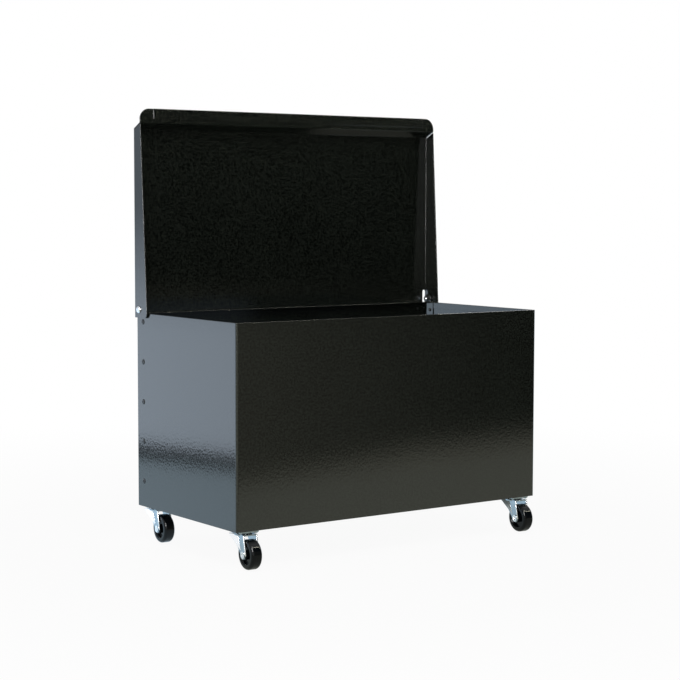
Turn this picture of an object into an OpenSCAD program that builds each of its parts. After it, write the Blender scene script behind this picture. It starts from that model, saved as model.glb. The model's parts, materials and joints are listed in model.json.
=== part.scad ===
// A storage bin for the hearth: a riveted box of sheet steel on four swivel
// casters, with a wedge-shaped lid that hinges on two bolts at the rear
// corners. The lid is drawn open, standing against the back panel.
// The front faces -Y. The origin is on the floor, below the middle.

/* [Body] */
// Outer width of the bin
body_w = 640; // [560:5:720]
// Outer depth of the bin, front to back
body_d = 325; // [280:5:400]
// Height of the walls, without the casters
body_h = 340; // [280:5:420]
// Thickness of all the sheet steel
sheet = 1.5; // [1.2:0.1:1.8]
// Outside radius of the two bent front corners
bend_r = 4; // [4:0.5:8]
// Height of the rim that is folded back inside the front and the sides
hem_h = 12; // [8:1:20]
// Width of the back panel's flanges, which lie inside the sides
back_flange = 30; // [26:1:45]
// Width of the shelf folded forward along the back panel's top
back_top = 12; // [8:1:20]
// Height of the bottom pan's upturned edges
pan_h = 9; // [7:1:14]

/* [Rivets] */
// Rivets down each side
rivets = 5; // [3:1:7]
// Diameter of a rivet's shank
rivet_d = 4.8; // [4:0.2:5]
// Diameter of a rivet's domed head
rivet_head_d = 9.5; // [8:0.5:11]
// Height of a rivet's domed head
rivet_head_h = 1.3; // [1:0.1:1.5]
// Distance of the rivets from the rear edge
rivet_inset = 20; // [15:1:22]
// Distance of the top rivet below the rim
rivet_top = 15; // [14:1:30]
// Distance of the bottom rivet above the lower edge
rivet_bottom = 45; // [35:1:60]

/* [Lid] */
// Gap between the sides and the lid's flanges
lid_gap = 2; // [1.8:0.1:3]
// Depth of the lid's flanges at the front, beside the sloping front edge
lid_front_depth = 21; // [18:1:28]
// How far the sloping front edge reaches past its bend
lid_slope = 10; // [8:1:14]
// Gap between the front panel and the bend of the closed lid
lid_front_gap = 1; // [0.5:0.5:4]
// Open seam between a flange's front end and the sloping front edge
corner_gap = 1.5; // [1:0.5:2]
// Width of the lip, which is the lid's handle
lip_w = 25; // [20:1:35]
// Radius of the lip's two corners
lip_r = 19; // [8:1:20]
// Width of the fold that doubles the lip's edge, between the round corners
lip_fold = 17; // [10:1:19]
// How far the lid reaches past its pivot, behind the bin
lid_tail = 14; // [12:1:18]
// Radius of the rounded rear corner of each flange
lid_heel_r = 8; // [4:1:10]
// Width of the relief slot at each rear corner
slot_w = 7; // [5:1:9]
// Length of the relief slot
slot_l = 25; // [18:1:30]

/* [Hinge] */
// Distance of the pivot in front of the back panel's outer face
pivot_inset = 12; // [11:0.5:16]
// Height of the pivot above the rim
pivot_lift = 6; // [4:0.5:9]
// Radius of the ear that carries the pivot
ear_r = 9; // [8:0.5:10]
// Diameter of the pivot bolt
pivot_d = 6; // [5:0.5:6.5]
// Diameter of the bolt's domed head
pivot_head_d = 12; // [10:0.5:14]
// Height of the bolt's domed head
pivot_head_h = 3.3; // [2.5:0.1:4]
// Width of the pivot nut across its flats
pivot_nut_af = 10; // [9:0.5:11]
// Height of the pivot nut
pivot_nut_h = 6; // [5:0.5:7]

/* [Casters] */
// Height of a caster, from the floor to the top of its plate
caster_h = 63; // [62:1:70]
// Diameter of a wheel
wheel_d = 50; // [44:1:51]
// Width of a wheel's tread
wheel_w = 20; // [16:1:24]
// Side of the square mounting plate
plate_w = 38; // [36:1:42]
// Thickness of the mounting plate
plate_t = 2.5; // [2:0.1:3]
// Distance of a caster's swivel axis from the bin's side
caster_side_inset = 28; // [24:1:50]
// Distance of a caster's swivel axis from the bin's front or back
caster_end_inset = 22; // [22:1:40]
// Distance of the axle behind the swivel axis
trail = 20; // [18:1:24]
// Angle that the casters are turned to
caster_turn = -3; // [-30:1:30]
// Diameter of the kingpin
kingpin_d = 8; // [7:0.5:9]
// Diameter of the axle
axle_d = 8; // [6:0.5:9]
// Thickness of the fork's metal
fork_t = 2; // [1.6:0.1:2.4]
// Radius of the fork's round crown
crown_r = 17; // [16:0.5:18]
// Radius of the fork's end around the axle
boss_r = 7; // [6:0.5:8]
// Diameter of a bearing ball
ball_d = 2.8; // [2.4:0.1:3]
// Number of bearing balls
balls = 18; // [12:1:20]
// Distance between the mounting bolts, both ways
bolt_pitch = 28; // [27:1:29]
// Diameter of a mounting bolt
bolt_d = 5; // [4:0.5:5]

/* [Hidden] */
$fn = 64;
// Play between a shaft and the hole that turns on it, on the radius
run_gap = 0.06;
// Play between flat faces that slide past each other
face_gap = 0.3;
// Gap between two folded edges that don't meet
edge_gap = 2;

// Heights of the bin's lower edge and of its rim
base_z = caster_h;
rim_z = base_z + body_h;

// The turned wheels reach past the front, and the lid past the back. The
// middle of the whole depth is at Y = 0.
wheel_r = wheel_d / 2;
side_reach = wheel_w / 2 * abs(sin(caster_turn));
wheel_reach = (trail + wheel_r) * cos(caster_turn) + side_reach - caster_end_inset;
front_y = (wheel_reach - body_d - face_gap - sheet) / 2;
back_y = front_y + body_d;

// The lid's sheet is a folded strip. When it is open, the panel stands
// panel_y behind the pivot, and its front bend is lid_l above the pivot. When
// it is closed, the bend rests just past and just above the front rim. Both
// points lie on one circle round the pivot.
pivot_y = back_y - pivot_inset;
pivot_z = rim_z + pivot_lift;
lid_w = body_w + 2 * (lid_gap + sheet);
panel_y = pivot_inset + face_gap;
closed_bend = [pivot_inset - body_d - lid_front_gap, face_gap - pivot_lift];
lid_l = sqrt(pow(norm(closed_bend), 2) - pow(panel_y, 2));
close_angle = atan2(closed_bend.y, closed_bend.x) + 360 - atan2(lid_l, panel_y);
wedge = close_angle - 90;

// Where the lid's free edges are, at a height above the pivot
function free_y(z) = panel_y - lid_front_depth - (lid_l - z) * tan(wedge);
lip_root = [free_y(lid_l + lid_slope), lid_l + lid_slope];
lip_way = [sin(wedge), cos(wedge)];
lip_tip = lip_root + lip_w * lip_way;
lid_path = [[panel_y, -lid_tail], [panel_y, lid_l], lip_root, lip_tip];

// How far the fold along the lip's edge stops short of the round corners
fold_inset = 8;

// How far the relief slots reach below the pivot
slot_drop = 8;

// Thread that stands out of a nut
thread_end = 1.5;

// The pop rivets' closed ends, inside the bin
rivet_tail_d = 6.5;
rivet_tail_h = 2.5;

// Heights in a caster: the plate's underside, and the crown's top and underside
ball_gap = 0.25;
plate_z = caster_h - plate_t;
crown_top = plate_z - ball_d - 2 * ball_gap;
crown_z = crown_top - fork_t;

// Bearing ring under the plate
ball_circle_r = 11.5;
race_wall = 1.5;
race_h = 2;
kingpin_head_d = 13;
kingpin_head_h = 2;

// Fork: where its legs stand, and how far their tops reach before and behind
// the swivel axis
hub_proud = 0.9;
leg_x = wheel_w / 2 + hub_proud + face_gap;
leg_front = 20;
leg_back = 15;
axle_head_d = 12;
axle_head_h = 1.8;

// Wheel: the tread's rounding, its rim, the web between rim and hub, the hub
tread_r = 5;
rim_r = 17;
web_w = 9;
hub_r = 8;

// Mounting bolts and nuts
plate_r = 5;
bolt_head_d = 8.5;
bolt_head_h = 2.9;
bolt_nut_af = 8;
bolt_nut_h = 4;

// Each corner's name and its side in X and in Y
CORNERS = [
    ["front_left", -1, -1],
    ["front_right", 1, -1],
    ["rear_left", -1, 1],
    ["rear_right", 1, 1],
];
// Each side's name and its direction in X
SIDES = [["left", -1], ["right", 1]];
CASTER_PARTS = ["plate", "bearing", "kingpin", "fork", "axle", "wheel", "bolts", "nuts"];

// Shapes that repeat

// A path of points, each moved sideways by t, to the right of its direction
function right_of(path, i) = let (d = path[i + 1] - path[i]) [d.y, -d.x] / norm(d);
function moved(path, t) = [
    for (i = [0:len(path) - 1])
        let (a = right_of(path, max(i - 1, 0)), b = right_of(path, min(i, len(path) - 2)))
            path[i] + t * (a + b) / (1 + a * b)
];

// Where a line from point p touches a circle, on its left (1) or its right (-1)
function touch(centre, r, p, side) =
    let (v = p - centre, a = atan2(v.y, v.x) + side * acos(r / norm(v)))
        centre + r * [cos(a), sin(a)];

// A shape drawn in Y and Z, given a width along X
module along_x(width) {
    rotate([90, 0, 90])
        linear_extrude(width, center = true)
            children();
}

// A rectangle behind the X axis whose two front corners are round
module bent_outline(w, d, r) {
    translate([-w / 2, r])
        square([w, d - r]);
    translate([r - w / 2, 0])
        square([w - 2 * r, d]);
    for (x = [-1, 1])
        translate([x * (w / 2 - r), r])
            circle(r);
}

module rounded_square(w, r) {
    square([w, w - 2 * r], center = true);
    square([w - 2 * r, w], center = true);
    for (x = [-1, 1], y = [-1, 1])
        translate([x, y] * (w / 2 - r))
            circle(r);
}

// What is cut away to round the corner whose point is at the origin
module corner_cut(r) {
    difference() {
        translate([-r, -r])
            square(r + 1);
        translate([-r, -r])
            circle(r);
    }
}

// A low dome, flat side down
module dome(d, h) {
    ball_r = (d * d / 4 + h * h) / (2 * h);
    intersection() {
        cylinder(d = d, h = h);
        translate([0, 0, h - ball_r])
            sphere(ball_r);
    }
}

module hex_nut(af, h, bore) {
    difference() {
        cylinder(d = af / cos(30), h = h, $fn = 6);
        translate([0, 0, -1])
            cylinder(d = bore, h = h + 2);
    }
}

// Places: each turns +Z to point out of the side that it is on

module at_pivot(side) {
    translate([side * body_w / 2, pivot_y, pivot_z])
        rotate([0, side * 90, 0])
            children();
}

module at_rivets(side) {
    for (i = [0:rivets - 1])
        translate([
            side * body_w / 2,
            back_y - rivet_inset,
            base_z + rivet_bottom + i * (body_h - rivet_top - rivet_bottom) / (rivets - 1)
        ])
            rotate([0, side * 90, 0])
                children();
}

module at_corner(c) {
    translate([
        c[1] * (body_w / 2 - caster_side_inset),
        front_y + body_d / 2 + c[2] * (body_d / 2 - caster_end_inset),
        0
    ])
        children();
}

module at_bolts() {
    for (x = [-1, 1], y = [-1, 1])
        translate([x, y, 0] * bolt_pitch / 2)
            children();
}

// The turned part of a caster, with its wheel towards -Y before it is turned
module swivelled() {
    rotate(caster_turn)
        children();
}

// Along the axle, from its middle
module on_axle() {
    translate([0, -trail, wheel_r])
        rotate([0, 90, 0])
            children();
}

// The bin

// Front and sides, one sheet bent round the two front corners, with a rim
// folded back inside and an ear for each pivot
module body_shell() {
    inner_w = body_w - 2 * sheet;
    color([0.09, 0.085, 0.08])
    difference() {
        union() {
            translate([0, front_y, base_z])
                linear_extrude(body_h)
                    difference() {
                        bent_outline(body_w, body_d, bend_r);
                        translate([0, sheet])
                            bent_outline(inner_w, body_d, bend_r - sheet);
                    }
            translate([0, front_y + sheet, rim_z - hem_h])
                linear_extrude(hem_h)
                    difference() {
                        bent_outline(inner_w, body_d - sheet - back_flange - edge_gap, bend_r - sheet);
                        translate([0, sheet])
                            bent_outline(inner_w - 2 * sheet, body_d, bend_r - 2 * sheet);
                    }
            for (s = SIDES)
                translate([s[1] * (body_w - sheet) / 2, pivot_y, 0])
                    along_x(sheet) {
                        translate([0, pivot_z])
                            circle(ear_r);
                        translate([-ear_r, rim_z - 1])
                            square([2 * ear_r, pivot_lift + 1]);
                    }
        }
        for (s = SIDES) {
            at_pivot(s[1])
                cylinder(d = pivot_d, h = 4 * sheet, center = true);
            at_rivets(s[1])
                cylinder(d = rivet_d, h = 4 * sheet, center = true);
        }
    }
}

// Back sheet between the sides, with a flange riveted to each side and a
// narrow shelf along the top
module back_panel() {
    w = body_w - 2 * sheet;
    flange_z = base_z + pan_h + edge_gap;
    color([0.09, 0.085, 0.08])
    difference() {
        union() {
            translate([-w / 2, back_y - sheet, base_z])
                cube([w, sheet, body_h]);
            translate([-w / 2, back_y - back_top, rim_z - sheet])
                cube([w, back_top, sheet]);
            for (s = SIDES)
                translate([s[1] * (w - sheet) / 2, back_y - back_flange / 2, (flange_z + rim_z) / 2])
                    cube([sheet, back_flange, rim_z - flange_z], center = true);
        }
        for (s = SIDES)
            at_rivets(s[1])
                cylinder(d = rivet_d, h = 6 * sheet, center = true);
    }
}

// Floor of the bin, a tray that stands inside the walls
module bottom_pan() {
    w = body_w - 2 * sheet;
    d = body_d - 2 * sheet;
    color([0.09, 0.085, 0.08])
    difference() {
        translate([0, front_y + sheet, base_z])
            difference() {
                linear_extrude(pan_h)
                    bent_outline(w, d, bend_r - sheet);
                translate([0, sheet, sheet])
                    linear_extrude(pan_h)
                        bent_outline(w - 2 * sheet, d - 2 * sheet, bend_r - 2 * sheet);
            }
        for (c = CORNERS)
            at_corner(c)
                at_bolts()
                    translate([0, 0, base_z - sheet])
                        cylinder(d = bolt_d, h = 3 * sheet);
    }
}

// Pop rivets of one side
module rivets(side) {
    color([0.12, 0.12, 0.12])
    at_rivets(side) {
        dome(rivet_head_d, rivet_head_h);
        translate([0, 0, -2 * sheet])
            cylinder(d = rivet_d, h = 2 * sheet);
        translate([0, 0, -2 * sheet - rivet_tail_h])
            cylinder(d = rivet_tail_d, h = rivet_tail_h);
    }
}

// The lid

// Outline of a side flange: along the back of the panel, up the sloping front
// edge, and down the free edge to a rounded heel. An open seam parts it from
// the sloping front edge.
module lid_flange_outline() {
    back = moved(lid_path, sheet);
    seam = moved(lid_path, -corner_gap);
    heel = [free_y(-lid_tail), -lid_tail];
    heel_inset = lid_heel_r * (tan(wedge) + 1 / cos(wedge));
    difference() {
        polygon([back[0], back[1], back[2], lip_root, heel]);
        polygon([lid_path[1], lip_root, seam[2], seam[1]]);
        translate(heel + [heel_inset - lid_heel_r, 0])
            mirror([1, 0])
                mirror([0, 1])
                    corner_cut(lid_heel_r);
    }
}

// Panel, sloping front edge and lip are one folded strip, doubled at the lip's
// edge, and a flange closes each side
module lid() {
    back_path = moved(lid_path, sheet);
    // The fold's tip, on its own face and halfway into the lip's sheet
    fold_tip = [for (t = [-sheet, sheet / 2]) moved(lid_path, t)[3]];
    color([0.08, 0.08, 0.075])
    translate([0, pivot_y, pivot_z])
        difference() {
            union() {
                along_x(lid_w)
                    polygon([each lid_path, for (i = [3:-1:0]) back_path[i]]);
                along_x(lid_w - 2 * (lip_r + fold_inset))
                    polygon([each fold_tip, for (i = [1, 0]) fold_tip[i] - lip_fold * lip_way]);
                for (s = SIDES)
                    translate([s[1] * (lid_w - sheet) / 2, 0, 0])
                        along_x(sheet)
                            lid_flange_outline();
            }
            // Round corners of the lip
            for (s = SIDES)
                scale([s[1], 1, 1])
                    translate([lid_w / 2, 0, lip_tip.y])
                        rotate([90, 0, 0])
                            linear_extrude(4 * lid_front_depth, center = true)
                                corner_cut(lip_r);
            // Relief slots beside the flanges
            for (s = SIDES, z = [slot_w / 2 - slot_drop, slot_l - slot_drop - slot_w / 2])
                translate([s[1] * (lid_w / 2 - sheet - slot_w / 2), panel_y + sheet / 2, z])
                    rotate([90, 0, 0])
                        cylinder(d = slot_w, h = 3 * sheet, center = true);
            for (s = SIDES)
                translate([
                    s[1] * (lid_w / 2 - sheet - slot_w / 2),
                    panel_y + sheet / 2,
                    slot_l / 2 - slot_drop
                ])
                    cube([slot_w, 3 * sheet, slot_l - slot_w], center = true);
            rotate([0, 90, 0])
                cylinder(d = pivot_d + 2 * run_gap, h = 2 * lid_w, center = true);
        }
}

// The hinge, from the outside in: bolt head, lid flange, washer, ear, nut

module pivot_bolt(side) {
    head_z = lid_gap + sheet + face_gap;
    tip_z = -sheet - pivot_nut_h - thread_end;
    color([0.8, 0.8, 0.82])
    at_pivot(side) {
        translate([0, 0, head_z])
            dome(pivot_head_d, pivot_head_h);
        translate([0, 0, tip_z])
            cylinder(d = pivot_d, h = head_z - tip_z);
    }
}

module pivot_washer(side) {
    color([0.85, 0.85, 0.8])
    at_pivot(side)
        difference() {
            cylinder(d = pivot_head_d, h = lid_gap - face_gap);
            translate([0, 0, -1])
                cylinder(d = pivot_d, h = lid_gap + 2);
        }
}

module pivot_nut(side) {
    color([0.8, 0.8, 0.82])
    at_pivot(side)
        translate([0, 0, -sheet - pivot_nut_h])
            hex_nut(pivot_nut_af, pivot_nut_h, pivot_d);
}

// The casters

// Mounting plate with the ring that keeps the balls in
module caster_plate() {
    ring_r = ball_circle_r + ball_d / 2 + face_gap;
    color([0.75, 0.77, 0.8])
    difference() {
        union() {
            translate([0, 0, plate_z])
                linear_extrude(plate_t)
                    rounded_square(plate_w, plate_r);
            translate([0, 0, plate_z - race_h])
                difference() {
                    cylinder(r = ring_r + race_wall, h = race_h);
                    translate([0, 0, -1])
                        cylinder(r = ring_r, h = race_h + 1);
                }
        }
        translate([0, 0, plate_z - 1])
            cylinder(d = kingpin_d, h = plate_t + 2);
        at_bolts()
            translate([0, 0, plate_z - 1])
                cylinder(d = bolt_d, h = plate_t + 2);
    }
}

module caster_bearing() {
    color([0.8, 0.8, 0.82])
    for (i = [1:balls])
        rotate(i * 360 / balls)
            translate([ball_circle_r, 0, plate_z - ball_gap - ball_d / 2])
                sphere(d = ball_d);
}

// Rivet that the fork turns on, flush with the top of the plate
module kingpin() {
    head_z = crown_z - face_gap - kingpin_head_h;
    color([0.75, 0.77, 0.8])
    translate([0, 0, head_z]) {
        cylinder(d = kingpin_head_d, h = kingpin_head_h);
        cylinder(d = kingpin_d, h = caster_h - head_z);
    }
}

// Crown and two legs, each tapering to a round end at the axle
module fork() {
    axle = [-trail, wheel_r];
    front = [-leg_front, crown_top];
    back = [leg_back, crown_top];
    color([0.75, 0.77, 0.8])
    difference() {
        union() {
            translate([0, 0, crown_z])
                linear_extrude(fork_t) {
                    circle(crown_r);
                    translate([-leg_x - fork_t, -leg_front])
                        square([2 * (leg_x + fork_t), leg_front + leg_back]);
                }
            for (s = SIDES)
                translate([s[1] * (leg_x + fork_t / 2), 0, 0])
                    along_x(fork_t) {
                        polygon([back, front, touch(axle, boss_r, front, 1), touch(axle, boss_r, back, -1)]);
                        translate(axle)
                            circle(boss_r);
                    }
        }
        translate([0, 0, crown_z - 1])
            cylinder(r = kingpin_d / 2 + run_gap, h = fork_t + 2);
        on_axle()
            cylinder(d = axle_d, h = 4 * leg_x, center = true);
    }
}

// Hollow rivet, with a dished head at each end
module axle() {
    head_x = leg_x + fork_t;
    color([0.8, 0.8, 0.82])
    on_axle() {
        cylinder(d = axle_d, h = 2 * head_x, center = true);
        for (s = SIDES)
            scale([1, 1, s[1]])
                translate([0, 0, head_x])
                    difference() {
                        cylinder(d = axle_head_d, h = axle_head_h);
                        translate([0, 0, axle_head_h / 2])
                            cylinder(d1 = axle_d / 2, d2 = axle_d, h = axle_head_h);
                    }
    }
}

module wheel() {
    color([0.03, 0.03, 0.035])
    on_axle()
        rotate_extrude() {
            // Rim and tread
            translate([rim_r, -wheel_w / 2])
                square([wheel_r - rim_r - tread_r, wheel_w]);
            translate([rim_r, tread_r - wheel_w / 2])
                square([wheel_r - rim_r, wheel_w - 2 * tread_r]);
            for (s = SIDES)
                translate([wheel_r - tread_r, s[1] * (wheel_w / 2 - tread_r)])
                    circle(tread_r);
            // Web
            translate([hub_r, -web_w / 2])
                square([rim_r - hub_r, web_w]);
            // Hub
            translate([axle_d / 2 + run_gap, -wheel_w / 2 - hub_proud])
                square([hub_r - axle_d / 2 - run_gap, wheel_w + 2 * hub_proud]);
        }
}

// Bolts, heads below the plate, ends inside the bin
module mount_bolts() {
    shank_h = plate_t + sheet + bolt_nut_h + thread_end;
    color([0.75, 0.77, 0.8])
    at_bolts()
        translate([0, 0, plate_z]) {
            mirror([0, 0, 1])
                dome(bolt_head_d, bolt_head_h);
            cylinder(d = bolt_d, h = shank_h);
        }
}

module mount_nuts() {
    color([0.75, 0.77, 0.8])
    at_bolts()
        translate([0, 0, base_z + sheet])
            hex_nut(bolt_nut_af, bolt_nut_h, bolt_d);
}

body_shell();
back_panel();
bottom_pan();
lid();
for (s = SIDES) {
    rivets(s[1]);
    pivot_bolt(s[1]);
    pivot_washer(s[1]);
    pivot_nut(s[1]);
}
for (c = CORNERS) {
    at_corner(c) caster_plate();
    at_corner(c) caster_bearing();
    at_corner(c) kingpin();
    at_corner(c) swivelled() fork();
    at_corner(c) swivelled() axle();
    at_corner(c) swivelled() wheel();
    at_corner(c) mount_bolts();
    at_corner(c) mount_nuts();
}
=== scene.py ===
# %% [markdown]
# # A rolling storage bin for the hearth
# The real object is a box of thin sheet steel, painted black and baked, on four
# swivel casters. Its wedge-shaped lid stands open against the back. Every steel
# part already exists as an exact solid, so this lesson loads those solids, gives
# each one its finish, adds the small moulded and stamped forms that solids of
# plain sheet leave out, and lights the whole in a small white studio.

import json
from math import pi, radians

import bmesh
import bpy
from mathutils import Matrix, Vector


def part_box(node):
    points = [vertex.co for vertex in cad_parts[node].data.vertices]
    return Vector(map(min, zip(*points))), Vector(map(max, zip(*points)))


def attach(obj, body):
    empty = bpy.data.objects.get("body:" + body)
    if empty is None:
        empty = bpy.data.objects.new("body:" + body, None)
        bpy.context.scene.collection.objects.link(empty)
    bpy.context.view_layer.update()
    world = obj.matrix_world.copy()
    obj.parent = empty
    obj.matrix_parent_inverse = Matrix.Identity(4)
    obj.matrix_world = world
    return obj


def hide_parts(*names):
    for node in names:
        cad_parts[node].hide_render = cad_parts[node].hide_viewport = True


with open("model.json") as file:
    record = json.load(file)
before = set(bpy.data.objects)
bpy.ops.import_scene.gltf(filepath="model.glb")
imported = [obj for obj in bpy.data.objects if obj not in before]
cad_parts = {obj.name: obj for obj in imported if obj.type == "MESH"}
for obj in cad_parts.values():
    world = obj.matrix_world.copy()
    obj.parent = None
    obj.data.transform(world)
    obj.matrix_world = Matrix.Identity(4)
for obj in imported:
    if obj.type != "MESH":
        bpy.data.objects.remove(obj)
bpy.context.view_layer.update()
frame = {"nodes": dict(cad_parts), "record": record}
NODES = frame["nodes"]

# %% [markdown]
# ## Camera
# The photograph is taken from the front left, a little above the rim, with a
# long lens. The place and the three angles below put the bin's corners, the
# lid's edges and the wheels where they are in the picture. The picture is
# square, so the lens and the width of the sensor settle the view.

# %% Place the camera
CAMERA_PLACE = (-1.8023, -2.5133, 0.5946)
CAMERA_YAW = radians(35.53)
CAMERA_PITCH = radians(4.48)
CAMERA_ROLL = radians(0.12)
LENS_MM = 92.29
SENSOR_MM = 36

turn = Matrix.Rotation(-CAMERA_YAW, 3, "Z")
tilt = Matrix.Rotation(pi / 2 - CAMERA_PITCH, 3, "X")
roll = Matrix.Rotation(CAMERA_ROLL, 3, "Z")
camera_data = bpy.data.cameras.new("camera")
camera_data.sensor_width = SENSOR_MM
camera_data.lens = LENS_MM
camera = bpy.data.objects.new("camera", camera_data)
camera.location = CAMERA_PLACE
camera.rotation_euler = (turn @ tilt @ roll).to_euler()
bpy.context.scene.collection.objects.link(camera)
bpy.context.scene.camera = camera
print("camera at", CAMERA_PLACE, "with a", LENS_MM, "mm lens")

# %% [markdown]
# ## A short way to write shader maths
# A finish is a sum of patterns, such as paint that is a little rougher where it
# is a little thicker. Wiring Math nodes by hand hides that sum. The small class
# below wraps one socket, so that ordinary + - and * add the Math nodes, and a
# finish reads like the sentence that describes it.

# %% Wrap a socket
class Sock:
    def __init__(self, finish, socket):
        self.finish = finish
        self.socket = socket

    def maths(self, operation, first, second):
        return self.finish.node("ShaderNodeMath", {"operation": operation}, {0: first, 1: second})

    def __add__(self, other):
        return self.maths("ADD", self, other)

    def __sub__(self, other):
        return self.maths("SUBTRACT", self, other)

    def __mul__(self, other):
        return self.maths("MULTIPLY", self, other)

    def __rsub__(self, other):
        return self.maths("SUBTRACT", other, self)

    def at_most(self, other):
        return self.maths("MINIMUM", self, other)

    def at_least(self, other):
        return self.maths("MAXIMUM", self, other)

    __radd__ = __add__


# %% [markdown]
# ## A finish
# One Finish is one material. Its node method makes any node: first the node's
# own settings, then the values or links of its sockets. The short methods after
# it make the nodes that most finishes need. Patterns are placed by Object
# coordinates, which are metres here, so a noise with a scale of 250 has grains
# of about 4 mm.

# %% Make nodes by one method
class Finish:
    def __init__(self, name):
        self.material = bpy.data.materials.new(name)
        self.material.use_nodes = True
        self.nodes = self.material.node_tree.nodes
        self.links = self.material.node_tree.links
        self.nodes.clear()
        self.place = self.node("ShaderNodeTexCoord", out="Object")

    def node(self, kind, settings=None, values=None, out=0):
        made = self.nodes.new(kind)
        for name, value in (settings or {}).items():
            if name == "stops":
                for stop, (position, colour) in zip(made.color_ramp.elements, value):
                    stop.position = position
                    stop.color = (*colour, 1)
            else:
                setattr(made, name, value)
        for name, value in (values or {}).items():
            if isinstance(value, Sock):
                self.links.new(value.socket, made.inputs[name])
            else:
                made.inputs[name].default_value = value
        return Sock(self, made.outputs[out])

    def noise(self, scale, detail=2.0, stretch=None):
        place = self.place
        if stretch:
            place = self.node("ShaderNodeMapping", None, {"Vector": place, "Scale": stretch})
        values = {"Vector": place, "Scale": scale, "Detail": detail}
        return self.node("ShaderNodeTexNoise", None, values)

    def blend(self, amount, dark, light):
        stops = [(0.0, dark), (1.0, light)]
        return self.node("ShaderNodeValToRGB", {"stops": stops}, {0: amount})

    def along(self, letter):
        return self.node("ShaderNodeSeparateXYZ", None, {0: self.place}, letter)

    def ramp(self, value, start, end):
        values = {"Value": value, "From Min": start, "From Max": end}
        return self.node("ShaderNodeMapRange", None, values)

    def ray(self, kind):
        return self.node("ShaderNodeLightPath", None, None, kind)

    def bump(self, height, depth, normal=None):
        values = {"Height": height, "Distance": depth, "Strength": 1.0}
        if normal:
            values["Normal"] = normal
        return self.node("ShaderNodeBump", None, values)

    def bend(self, radius):
        return self.node("ShaderNodeBevel", {"samples": 4}, {"Radius": radius})

    def glow(self, colour, strength):
        values = {"Color": colour, "Strength": strength}
        return self.node("ShaderNodeEmission", None, values)

    def mix(self, share, first, second):
        return self.node("ShaderNodeMixShader", None, {0: share, 1: first, 2: second})

    def surface(self, values):
        return self.show(self.node("ShaderNodeBsdfPrincipled", None, values))

    def show(self, shader):
        output = self.nodes.new("ShaderNodeOutputMaterial")
        self.links.new(shader.socket, output.inputs["Surface"])
        return self.material


# %% [markdown]
# ## Black powder coat
# The sheet steel is sprayed with dry black powder and baked. It comes out
# glossy, but never flat: a leathery skin of 3 mm waves makes the edge of each
# reflection crinkle, and each grain of powder is a little lighter or darker than
# the next, which shows as a fine speckle on the dark faces. A clear coat layer
# would do for the gloss, but it would mirror flat, because the bump only tilts
# the layer below it. So the base itself is glossy, and the waves are in its
# bump. They are only hundredths of a millimetre high, because the eye sees a
# slope, not a height. They lie over a softened bend, so that the sharp folds of
# the solid sheet catch a little light, as a real bent edge does.

# %% Mix the powder coat
DEEP_BLACK = (0.0018, 0.0027, 0.0019)
PALE_GRAIN = (0.0172, 0.0214, 0.0168)
WAVE_DEPTH = 0.00014
SOFT_BEND = 0.0012


def powder_coat():
    coat = Finish("black_powder_coat")
    waves = coat.noise(240, 1.5)
    grain = coat.noise(350, 0.0)
    cloud = coat.noise(7, 3.0)
    speckle = (grain - 0.5) * 3.0 + cloud * 0.4 + 0.3
    height = waves * 0.8 + grain * 0.2
    return coat.surface({
        "Base Color": coat.blend(speckle, DEEP_BLACK, PALE_GRAIN),
        "Roughness": 0.07 + grain * 0.08,
        "Specular IOR Level": 0.90,
        "Normal": coat.bump(height, WAVE_DEPTH, coat.bend(SOFT_BEND)),
    })


BLACK_COAT = powder_coat()
print("mixed", BLACK_COAT.name)

# %% [markdown]
# ## Rivet black
# The pop rivets are bought black. Their heads are rubbed a little by the tool
# that set them, so they are satin and slightly lighter than the sheet.

# %% Mix the rivets' black
def rivet_black():
    black = Finish("satin_black")
    rub = black.noise(420, 3.0)
    return black.surface({
        "Base Color": black.blend(rub, (0.010, 0.010, 0.011), (0.030, 0.031, 0.033)),
        "Roughness": 0.30 + rub * 0.2,
        "Normal": black.bump(rub, 0.00002),
    })


RIVET_BLACK = rivet_black()
print("mixed", RIVET_BLACK.name)

# %% [markdown]
# ## Bright zinc
# The caster plates, forks and bolts are pressed from steel and zinc plated. The
# plating is bright with a cool tint. Rolling leaves faint streaks in the sheet,
# so one noise is stretched along the pressing, and a cloudy one dulls patches.

# %% Mix the zinc
def bright_zinc(name, dark, light):
    zinc = Finish(name)
    streaks = zinc.noise(160, 3.0, (1.0, 1.0, 0.12))
    cloud = zinc.noise(55, 2.0)
    worn = streaks * 0.5 + cloud * 0.5
    return zinc.surface({
        "Base Color": zinc.blend(worn, dark, light),
        "Metallic": 1.0,
        "Roughness": 0.10 + worn * 0.24,
        "Normal": zinc.bump(cloud, 0.0006, zinc.bend(0.0006)),
    })


ZINC = bright_zinc("bright_zinc", (0.26, 0.33, 0.38), (0.52, 0.58, 0.63))
# This near-white copy of the zinc is a painted highlight. It is used on the forks' rolled edges
# and flares so that they look lit.
HIGHLIGHT_ZINC = bright_zinc("painted_highlight_zinc", (0.80, 0.84, 0.87), (0.95, 0.96, 0.97))
print("mixed", ZINC.name, "and", HIGHLIGHT_ZINC.name)

# %% [markdown]
# ## Chrome
# The hinge bolts, their nuts, the wheels' axles and the bearing balls are
# polished. A mirror with no marks looks drawn, so fine wiping scratches vary its
# gloss.

# %% Mix the chrome
def polished_chrome():
    chrome = Finish("polished_chrome")
    wiped = chrome.noise(700, 4.0, (1.0, 0.2, 1.0))
    return chrome.surface({
        "Base Color": (0.86, 0.87, 0.89, 1),
        "Metallic": 1.0,
        "Roughness": 0.05 + wiped * 0.14,
        "Normal": chrome.bump(wiped, 0.000008),
    })


CHROME = polished_chrome()
print("mixed", CHROME.name)

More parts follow.
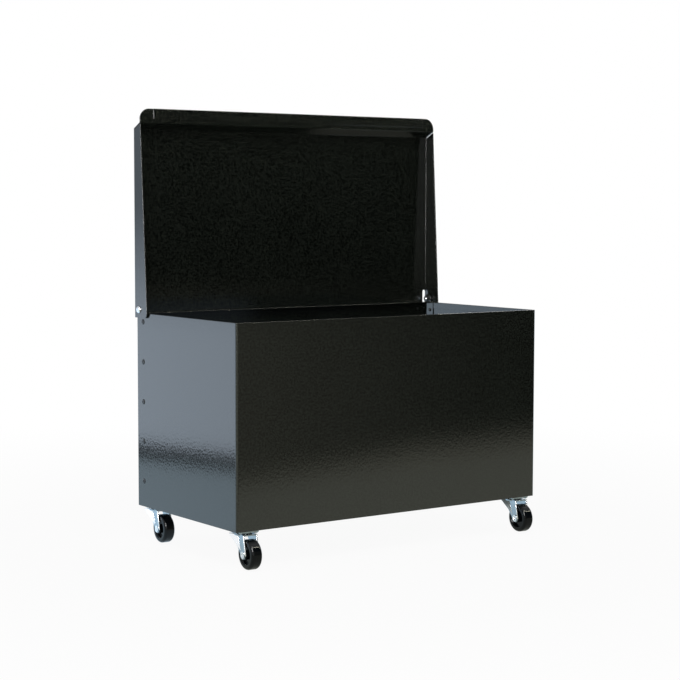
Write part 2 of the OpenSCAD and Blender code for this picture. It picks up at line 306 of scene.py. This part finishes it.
# %% [markdown]
# ## Nylon and wheel plastic
# The hinge washers are plain white nylon. The wheels are moulded in hard black
# plastic, glossy from a polished mould and scuffed a little by use. The scuffs
# are a fine noise in the roughness and the bump, and a broader noise shows how
# the plastic flowed.

# %% Mix the two plastics
def white_nylon():
    nylon = Finish("white_nylon")
    cloud = nylon.noise(300, 2.0)
    return nylon.surface({
        "Base Color": nylon.blend(cloud, (0.78, 0.78, 0.73), (0.88, 0.88, 0.84)),
        "Roughness": 0.42 + cloud * 0.12,
        "Normal": nylon.bump(cloud, 0.00002),
    })


def wheel_plastic():
    plastic = Finish("glossy_wheel_plastic")
    scuffs = plastic.noise(380, 4.0)
    flow = plastic.noise(90, 2.0)
    return plastic.surface({
        "Base Color": plastic.blend(flow, (0.002, 0.003, 0.004), (0.005, 0.007, 0.009)),
        "Roughness": 0.04 + scuffs * 0.10,
        "Specular IOR Level": 0.22,
        "Normal": plastic.bump(scuffs * 0.5 + flow * 0.5, 0.00002),
    })


NYLON = white_nylon()
WHEEL_BLACK = wheel_plastic()
print("mixed", NYLON.name, "and", WHEEL_BLACK.name)

# %% [markdown]
# ## Dress the solids
# The record says which finish each solid has. Its slot names are looked up in
# one small table, so that a solid can't get a finish by accident.

# %% Give each solid its finish
FINISHES = {
    "black_coat": BLACK_COAT,
    "rivet_black": RIVET_BLACK,
    "zinc": ZINC,
    "chrome": CHROME,
    "nylon": NYLON,
    "wheel_black": WHEEL_BLACK,
}
for part in frame["record"]["subparts"]:
    solid = NODES[part["node"]]
    solid.data.materials.clear()
    solid.data.materials.append(FINISHES[part["material_slot"]])

# %% [markdown]
# ## Tools for turned parts
# A rivet and a screw are both round about one line. A turned part can start as a
# short cylinder whose end face is drawn out step by step: each step extrudes the
# face along the line and then resizes it. A list of steps, how far along and how
# wide, then reads like the drawing for a lathe. A spun outline would give the
# same shape, but its poles and seams need closing afterwards.

# %% Start a cylinder and draw its end out in steps
MM = 0.001
ALMOST_PARALLEL = 0.99


def start_cylinder(name, corners, radius, low, high, centre, axis):
    bpy.ops.object.select_all(action="DESELECT")
    bpy.ops.mesh.primitive_cylinder_add(
        vertices=corners,
        radius=radius * MM,
        depth=(high - low) * MM,
        location=centre + axis * (low + high) / 2 * MM,
        rotation=axis.to_track_quat("Z", "Y").to_euler(),
    )
    part = bpy.context.object
    part.name = name
    bpy.ops.object.transform_apply(location=True, rotation=True, scale=True)
    return part


def pick_faces(part, wanted):
    mesh = bmesh.from_edit_mesh(part.data)
    for face in mesh.faces:
        face.select_set(bool(wanted(face)))
    bmesh.update_edit_mesh(part.data)


def draw_out(part, centre, axis, facing, steps):
    bpy.ops.object.mode_set(mode="EDIT")
    bpy.ops.mesh.select_mode(type="FACE")
    pick_faces(part, lambda face: face.normal.dot(axis) * facing > ALMOST_PARALLEL)
    along, wide = steps[0]
    for next_along, next_wide in steps[1:]:
        move = axis * (next_along - along) * MM
        bpy.ops.mesh.extrude_region_move(TRANSFORM_OT_translate={"value": move})
        share = next_wide / wide
        middle = centre + axis * next_along * MM
        bpy.ops.transform.resize(value=(share, share, share), center_override=middle)
        along, wide = next_along, next_wide
    bpy.ops.object.mode_set(mode="OBJECT")


# %% [markdown]
# ## Small helpers
# An operator acts on all that is selected, so the first helper picks just the
# parts that are needed. Joining makes several parts one object, smoothing shades
# the round faces and keeps the sharp edges, and a copy gets a mesh of its own,
# moved to its place, so that its object can stay at the origin. The last one
# gives the low corner, the high corner and the middle of a solid's box.

# %% Pick, join, smooth, copy and measure
def pick_parts(*parts):
    bpy.ops.object.select_all(action="DESELECT")
    for part in parts:
        part.select_set(True)
    bpy.context.view_layer.objects.active = parts[0]


def join(*parts):
    pick_parts(*parts)
    bpy.ops.object.join()
    return parts[0]


def smooth(part, angle=35):
    pick_parts(part)
    bpy.ops.object.shade_smooth_by_angle(angle=radians(angle))


def copy_of(part, move):
    copy = part.copy()
    copy.data = part.data.copy()
    copy.data.transform(move)
    bpy.context.scene.collection.objects.link(copy)
    return copy


def middle_of(node):
    low, high = (Vector(corner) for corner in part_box(node))
    return low, high, (low + high) / 2


# %% [markdown]
# ## Pop rivets
# A pop rivet is a hollow rivet on a steel pin. The tool pulls the pin until it
# snaps, so the domed head keeps a small hole with the end of the pin in it. The
# exact solid has a plain dome, so this piece takes its place: the same head,
# shank and tail, with the hole. One rivet is made, and four copies of it with
# meshes of their own go up the side.

# %% Make one rivet and repeat it
RIVETS_A_SIDE = 5
BODY_HALF_WIDTH = 0.32
HEAD_RADIUS = 4.75
HEAD_RIM = 0.35
DOME = [(HEAD_RIM, HEAD_RADIUS), (0.8, 4.15), (1.1, 3.3), (1.26, 2.4), (1.3, 1.55)]
HOLE = [(1.2, 1.35), (0.6, 1.3)]
PIN_END = [(0.6, 0.95), (0.95, 0.85)]
RIVET_SHANK = [(0.0, HEAD_RADIUS), (0.0, 2.4), (-3.0, 2.4)]
RIVET_TAIL = [(-3.0, 3.25), (-4.8, 3.25), (-5.3, 2.7), (-5.5, 1.8)]


def pop_rivets(side, toward):
    low, high, middle = middle_of("rivets_" + side)
    axis = Vector((toward, 0, 0))
    bottom = Vector((toward * BODY_HALF_WIDTH, middle.y, low.z + HEAD_RADIUS * MM))
    step = (high.z - low.z - 2 * HEAD_RADIUS * MM) / (RIVETS_A_SIDE - 1)
    name = "pop_rivets_" + side
    first = start_cylinder(name, 32, HEAD_RADIUS, 0.0, HEAD_RIM, bottom, axis)
    draw_out(first, bottom, axis, 1, DOME + HOLE + PIN_END)
    draw_out(first, bottom, axis, -1, RIVET_SHANK + RIVET_TAIL)
    ups = [Matrix.Translation((0, 0, i * step)) for i in range(1, RIVETS_A_SIDE)]
    join(first, *[copy_of(first, up) for up in ups])
    smooth(first)
    first.data.materials.append(RIVET_BLACK)
    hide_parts("rivets_" + side)
    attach(first, "bin")
    return first


for side, toward in (("left", -1), ("right", 1)):
    rivets = pop_rivets(side, toward)
    print(rivets.name, len(rivets.data.polygons), "faces,", RIVETS_A_SIDE, "rivets")

# %% [markdown]
# ## Hinge screws
# The lid swings on two button-head screws. The tool needs a hold, so a button
# head has a six-sided socket. The head is drawn out like the rivet's, and the
# socket is cut with a six-sided bar by a Boolean modifier, which is applied. The
# screw takes the place of the plain solid, head, shank and end alike.

# %% Make the two hinge screws
BUTTON_RADIUS = 6.0
BUTTON_RIM = 0.5
BUTTON_HEIGHT = 3.3
SOCKET_RADIUS = 2.3
SOCKET_FLOOR = 1.3
BAR_TOP = 4.5
BUTTON_SIDE = [(BUTTON_RIM, BUTTON_RADIUS), (1.3, 5.8), (2.1, 5.2)]
BUTTON_TOP = [(2.75, 4.3), (3.15, 3.3), (BUTTON_HEIGHT, 2.7)]
SCREW_SHANK = [(0.0, BUTTON_RADIUS), (0.0, 3.0), (-12.3, 3.0), (-12.8, 2.5)]


def cut_away(part, bar):
    cut = part.modifiers.new("cut", "BOOLEAN")
    cut.operation = "DIFFERENCE"
    cut.object = bar
    pick_parts(part)
    bpy.ops.object.modifier_apply(modifier="cut")
    bpy.data.objects.remove(bar)


def hinge_screw(side, toward):
    node = "pivot_bolt_" + side
    low, high, middle = middle_of(node)
    axis = Vector((toward, 0, 0))
    outer_x = high.x if toward > 0 else low.x
    seat = Vector((outer_x - toward * BUTTON_HEIGHT * MM, middle.y, middle.z))
    name = "hinge_screw_" + side
    screw = start_cylinder(name, 48, BUTTON_RADIUS, 0.0, BUTTON_RIM, seat, axis)
    draw_out(screw, seat, axis, 1, BUTTON_SIDE + BUTTON_TOP)
    draw_out(screw, seat, axis, -1, SCREW_SHANK)
    bar = start_cylinder("socket_bar", 6, SOCKET_RADIUS, SOCKET_FLOOR, BAR_TOP, seat, axis)
    cut_away(screw, bar)
    smooth(screw)
    screw.data.materials.clear()
    screw.data.materials.append(CHROME)
    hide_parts(node)
    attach(screw, "bin")
    return screw


for side, toward in (("left", -1), ("right", 1)):
    screw = hinge_screw(side, toward)
    print(screw.name, len(screw.data.polygons), "faces")

# %% [markdown]
# ## Rolled and flared edges of the forks
# A fork is pressed from 2 mm sheet. The front edge of each leg is rolled over,
# so that it is stiff and has no burr. Towards the back each leg flares out to
# the wide crown. Both get the near-white zinc, a painted highlight, so that the
# roll shows as one thin bright line and the slanted flare is paler than the rest
# of the leg. The roll is a round bar with rounded ends. The flare starts as a
# flat block on the leg, whose lower edge is closed to a point and whose rear
# upper corner is pulled out. Both are made once, for a fork that stands straight
# at the origin, and copied to the four corners.

# %% Roll and flare the edges of one fork
ROLL_RADIUS = 1.3
ROLL_END = [(0.0, ROLL_RADIUS), (0.5, 1.15), (0.9, 0.75), (1.05, 0.3)]
ROLL_TOP = Vector((12.2, -19.2, 56.0)) * MM
ROLL_FOOT = Vector((12.2, -26.6, 25.0)) * MM
FLARE_LOW = Vector((12.6, -12.0, 31.0)) * MM
FLARE_HIGH = Vector((13.4, 14.6, 57.0)) * MM
POINT_WIDTH = 0.4 * MM
TOP_NARROWED = 9.5 * MM
PULLED_OUT = 7.5 * MM
EDGE_BEVEL = 0.3 * MM


def rolled_edge(side):
    top = Vector((side * ROLL_TOP.x, ROLL_TOP.y, ROLL_TOP.z))
    foot = Vector((side * ROLL_FOOT.x, ROLL_FOOT.y, ROLL_FOOT.z))
    axis = (foot - top).normalized()
    length = (foot - top).length / MM
    bar = start_cylinder("fork_edges", 16, ROLL_RADIUS, 0.0, length, top, axis)
    draw_out(bar, foot, axis, 1, ROLL_END)
    draw_out(bar, top, -axis, 1, ROLL_END)
    return bar


def move_corners(part, wanted, move):
    mesh = bmesh.from_edit_mesh(part.data)
    for corner in mesh.verts:
        corner.select_set(bool(wanted(corner.co)))
    mesh.select_flush(True)
    mesh.select_flush(False)
    bmesh.update_edit_mesh(part.data)
    bpy.ops.transform.translate(value=move)


def flared_edge(side):
    middle = (FLARE_LOW + FLARE_HIGH) / 2
    size = FLARE_HIGH - FLARE_LOW
    rear = middle.y + 0.3 * size.y

    def low_rear(at):
        return at.z < middle.z and at.y > middle.y

    def high_front(at):
        return at.z > middle.z and at.y < middle.y

    def high_rear_outer(at):
        return at.z > middle.z and at.y > rear and abs(at.x) > middle.x

    bpy.ops.object.select_all(action="DESELECT")
    place = (side * middle.x, middle.y, middle.z)
    bpy.ops.mesh.primitive_cube_add(size=1, location=place, scale=size)
    flare = bpy.context.object
    bpy.ops.object.transform_apply(location=True, rotation=True, scale=True)
    bpy.ops.object.mode_set(mode="EDIT")
    bpy.ops.mesh.select_mode(type="VERT")
    move_corners(flare, low_rear, (0, -size.y + POINT_WIDTH, 0))
    move_corners(flare, high_front, (0, TOP_NARROWED, 0))
    move_corners(flare, high_rear_outer, (side * PULLED_OUT, 0, 0))
    bpy.ops.mesh.select_all(action="SELECT")
    bpy.ops.mesh.bevel(offset=EDGE_BEVEL, segments=2, affect="EDGES")
    bpy.ops.object.mode_set(mode="OBJECT")
    return flare


edge_parts = [make(side) for side in (-1, 1) for make in (rolled_edge, flared_edge)]
straight_edges = join(*edge_parts)
smooth(straight_edges, 40)
# The near-white zinc on these edges is a painted highlight.
straight_edges.data.materials.append(HIGHLIGHT_ZINC)
print(straight_edges.name, len(straight_edges.data.polygons), "faces")

# %% [markdown]
# ## One pair of edges at each corner
# The forks don't stand quite straight: they trail three degrees to one side. So
# each copy is turned by the same angle, and then moved to the middle of its
# caster plate. It rides on the swivel, so it turns when the fork turns.

# %% Copy the edges to the four forks
FORK_TURN = radians(-3)


def edges_at(corner):
    plate = middle_of(corner + "_caster_plate")[2]
    place = Matrix.Translation((plate.x, plate.y, 0))
    copy = copy_of(straight_edges, place @ Matrix.Rotation(FORK_TURN, 4, "Z"))
    copy.name = corner + "_fork_edges"
    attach(copy, corner + "_swivel")
    return copy


for corner in ("front_left", "front_right", "rear_left", "rear_right"):
    edges = edges_at(corner)
    print(edges.name, "in place")
bpy.data.objects.remove(straight_edges)

# %% [markdown]
# ## Studio floor
# The picture's ground is pure white. The floor is a plain pale plane. Near the
# bin it takes the bin's soft shadow, and seen by the camera it is mostly its own
# white, so that it runs into the background without an edge. The painted steel
# mirrors it warmer in front of the bin and cooler behind it, as in the picture.

# %% Lay the floor
FLOOR_SIZE = 30
FLOOR_DROP = 0.0005
SHADOW_REACH = (0.6, 1.7)
# Glossy rays see the floor as a painted reflection glow: warm and dim in front of the bin, cool
# and bright behind it.
FRONT_REFLECTION_GLOW = (0.50, 0.51, 0.43)
BACK_REFLECTION_GLOW = (0.84, 1.07, 1.25)
FLOOR_GREY = (0.80, 0.80, 0.80, 1)
OWN_WHITE = 0.94


def floor_white():
    white = Finish("floor_white")
    measure = {"operation": "LENGTH"}
    length = white.node("ShaderNodeVectorMath", measure, {0: white.place}, "Value")
    far = white.ramp(length, *SHADOW_REACH)
    lit = white.node("ShaderNodeBsdfDiffuse", None, {"Color": FLOOR_GREY})
    plain = white.glow((1, 1, 1, 1), 1.0)
    share = white.ray("Is Camera Ray") * (OWN_WHITE + far * (1 - OWN_WHITE))
    seen = white.mix(share, lit, plain)
    # A painted reflection: glossy rays see this glow, not the lit grey floor.
    behind = white.ramp(white.along("Y"), -0.2, 0.2)
    mirrored = white.glow(white.blend(behind, FRONT_REFLECTION_GLOW, BACK_REFLECTION_GLOW), 1.0)
    return white.show(white.mix(white.ray("Is Glossy Ray"), seen, mirrored))


def plain_floor():
    bpy.ops.object.select_all(action="DESELECT")
    bpy.ops.mesh.primitive_plane_add(size=FLOOR_SIZE, location=(0, 0, -FLOOR_DROP))
    floor = bpy.context.object
    floor.name = "studio_floor"
    bpy.ops.object.transform_apply(location=True)
    floor.data.materials.append(floor_white())
    return floor


studio_floor = plain_floor()
print("floor", round(studio_floor.dimensions.x, 1), "m wide")

# %% [markdown]
# ## World
# The camera, and anything shiny, sees a white surround of strength 1. Everything
# else is lit by a dimmer one, because the lamp does the main lighting.

# %% Paint the surround
DIM = 0.45


def white_surround():
    world = bpy.data.worlds.new("surround")
    bpy.context.scene.world = world
    world.use_nodes = True
    nodes, links = world.node_tree.nodes, world.node_tree.links
    nodes.clear()
    path = nodes.new("ShaderNodeLightPath")
    seen = path.outputs["Is Camera Ray"]
    for name in ("Is Glossy Ray", "Is Transmission Ray"):
        most = nodes.new("ShaderNodeMath")
        most.operation = "MAXIMUM"
        links.new(seen, most.inputs[0])
        links.new(path.outputs[name], most.inputs[1])
        seen = most.outputs[0]
    strength = nodes.new("ShaderNodeMapRange")
    strength.inputs["To Min"].default_value = DIM
    strength.inputs["To Max"].default_value = 1.0
    links.new(seen, strength.inputs["Value"])
    white = nodes.new("ShaderNodeBackground")
    links.new(strength.outputs[0], white.inputs["Strength"])
    white.inputs["Color"].default_value = (1, 1, 1, 1)
    output = nodes.new("ShaderNodeOutputWorld")
    links.new(white.outputs[0], output.inputs["Surface"])
    return world


print("surround", white_surround().name, "with strength", DIM, "for the lighting")

# %% [markdown]
# ## Lamp
# One broad lamp hangs above the front left and lights everything softly. Its
# power is given as the brightness of its face, which doesn't change when the
# lamp is made wider.

# %% Hang the lamp
OVERHEAD_PLACE = (-1.4, -1.6, 3.2)
OVERHEAD_AIM = (0, 0, 0.3)
OVERHEAD_SIZE = (1.0, 1.0)
OVERHEAD_BRIGHTNESS = 8.0
WARM_WHITE = (1.0, 0.98, 0.95)


def soft_lamp(name, place, aim, size, brightness, colour):
    data = bpy.data.lights.new(name, "AREA")
    data.shape = "RECTANGLE"
    data.size, data.size_y = size
    data.energy = brightness * pi * size[0] * size[1]
    data.color = colour
    lamp = bpy.data.objects.new(name, data)
    lamp.location = place
    lamp.rotation_euler = (Vector(aim) - Vector(place)).to_track_quat("-Z", "Y").to_euler()
    lamp.visible_camera = False
    bpy.context.scene.collection.objects.link(lamp)
    return lamp


overhead = soft_lamp(
    "overhead", OVERHEAD_PLACE, OVERHEAD_AIM, OVERHEAD_SIZE, OVERHEAD_BRIGHTNESS, WARM_WHITE
)
print(overhead.name, "lamp with", round(overhead.data.energy, 1), "watts")

# %% [markdown]
# ## What the painted steel mirrors
# Glossy black shows little of its own colour: it shows what it mirrors. So a
# tall window stands behind the bin to the left, and its reflection is why the
# left side looks blue grey. The window ends 3 cm above the floor, which gives
# the dark crinkled band low on that side. A dark screen stands in front, to the
# right, and keeps the upper front and the lid's inside black, while the foot of
# the front mirrors the floor. Its left half glows a little, which greys the
# front's left side, and a bright strip along its top draws the fine streak on
# each wheel. A white card stands inside the bin, against the back, where the
# camera can't see it, and brightens the inside of the right wall. A narrow edge
# light at the left draws the fine lines on the rims of the lid's flanges. Each
# is a panel that only reflections see. Heights and widths on a panel run from
# -0.5 to 0.5, because its own size is one before it is scaled.

# %% Mix the light of each panel
WINDOW_TINT = (0.82, 0.96, 1.13, 1)
WINDOW_FOOT = (-0.481, -0.476)
WINDOW_DIM = 0.62
WINDOW_BRIGHT = 1.75
SCREEN_TINT = (1.03, 1.0, 0.82, 1)
SCREEN_FOOT = (-0.5, -0.449)
SCREEN_MIDDLE = (-0.231, -0.200)
SCREEN_SIDE = (-0.35, 0.32)
SCREEN_STRIP = (0.39, 0.395)
FOOT_GLOW = 0.475
SIDE_GLOW = 0.184
STRIP_GLOW = 26
LEAST_GLOW = 0.002
CARD_TINT = (1.0, 1.22, 1.44, 1)
EDGE_BRIGHTNESS = 30.0


def window_glow():
    pane = Finish("window_glow")
    height = pane.along("Y")
    lit = pane.ramp(height, *WINDOW_FOOT)
    bright = lit * (-0.25 - height * 6.4).at_most(WINDOW_BRIGHT).at_least(WINDOW_DIM)
    return pane.show(pane.glow(WINDOW_TINT, bright))


def screen_black():
    black = Finish("screen_black")
    height = black.along("Y")
    left = black.along("X")
    slanted = height + (left - 0.05).at_least(0) * 0.11
    foot = 1 - black.ramp(slanted, *SCREEN_FOOT)
    below = 1 - black.ramp(height, *SCREEN_MIDDLE)
    near = black.ramp(left, *SCREEN_SIDE)
    strip = black.ramp(height, *SCREEN_STRIP)
    side = below * near * near * SIDE_GLOW
    light = foot * FOOT_GLOW + side + strip * STRIP_GLOW + LEAST_GLOW
    return black.show(black.glow(SCREEN_TINT, light))


def card_white():
    card = Finish("card_white")
    behind = card.node("ShaderNodeNewGeometry", out="Backfacing")
    clear = card.node("ShaderNodeBsdfTransparent")
    return card.show(card.mix(behind, card.glow(CARD_TINT, 1.0), clear))


def edge_glow():
    white = Finish("edge_glow")
    return white.show(white.glow((1, 1, 1, 1), EDGE_BRIGHTNESS))


# %% [markdown]
# ## The four panels
# A panel is a plane that is turned to face a direction and hidden from every
# kind of ray but the glossy one. So it costs no shadow, lights nothing by
# itself and stays out of the picture.

# %% Stand the panels
def reflector(name, place, facing, size, material):
    bpy.ops.object.select_all(action="DESELECT")
    bpy.ops.mesh.primitive_plane_add(size=1)
    panel = bpy.context.object
    panel.name = name
    panel.scale = (*size, 1)
    panel.location = place
    panel.rotation_euler = Vector(facing).to_track_quat("Z", "Y").to_euler()
    panel.data.materials.append(material)
    for kind in ("camera", "diffuse", "shadow", "transmission"):
        setattr(panel, "visible_" + kind, False)
    return panel


PANELS = [
    ("window", (-0.844, 0.90, 0.80), (0.970, -0.244, 0), (1.1, 1.6), window_glow),
    ("screen", (0.75, -0.903, 0.65), (0.0988, 0.9951, 0), (2.2, 1.3), screen_black),
    ("card", (0.145, 0.165, 0.350), (0, -1, 0), (0.34, 0.10), card_white),
    ("edge_light", (-1.13, -0.72, 0.82), (0.69, 0.73, 0), (0.34, 0.82), edge_glow),
]
for name, place, facing, size, mix_light in PANELS:
    panel = reflector(name, place, facing, size, mix_light())
    print(panel.name, "at", [round(v, 2) for v in panel.location])

# %% [markdown]
# ## Colours as they are
# The standard view shows a colour about as it is written, with no film look, so
# black stays black and the ground stays white.

# %% Choose the standard view
bpy.context.scene.view_settings.view_transform = "Standard"
print("view", bpy.context.scene.view_settings.view_transform)
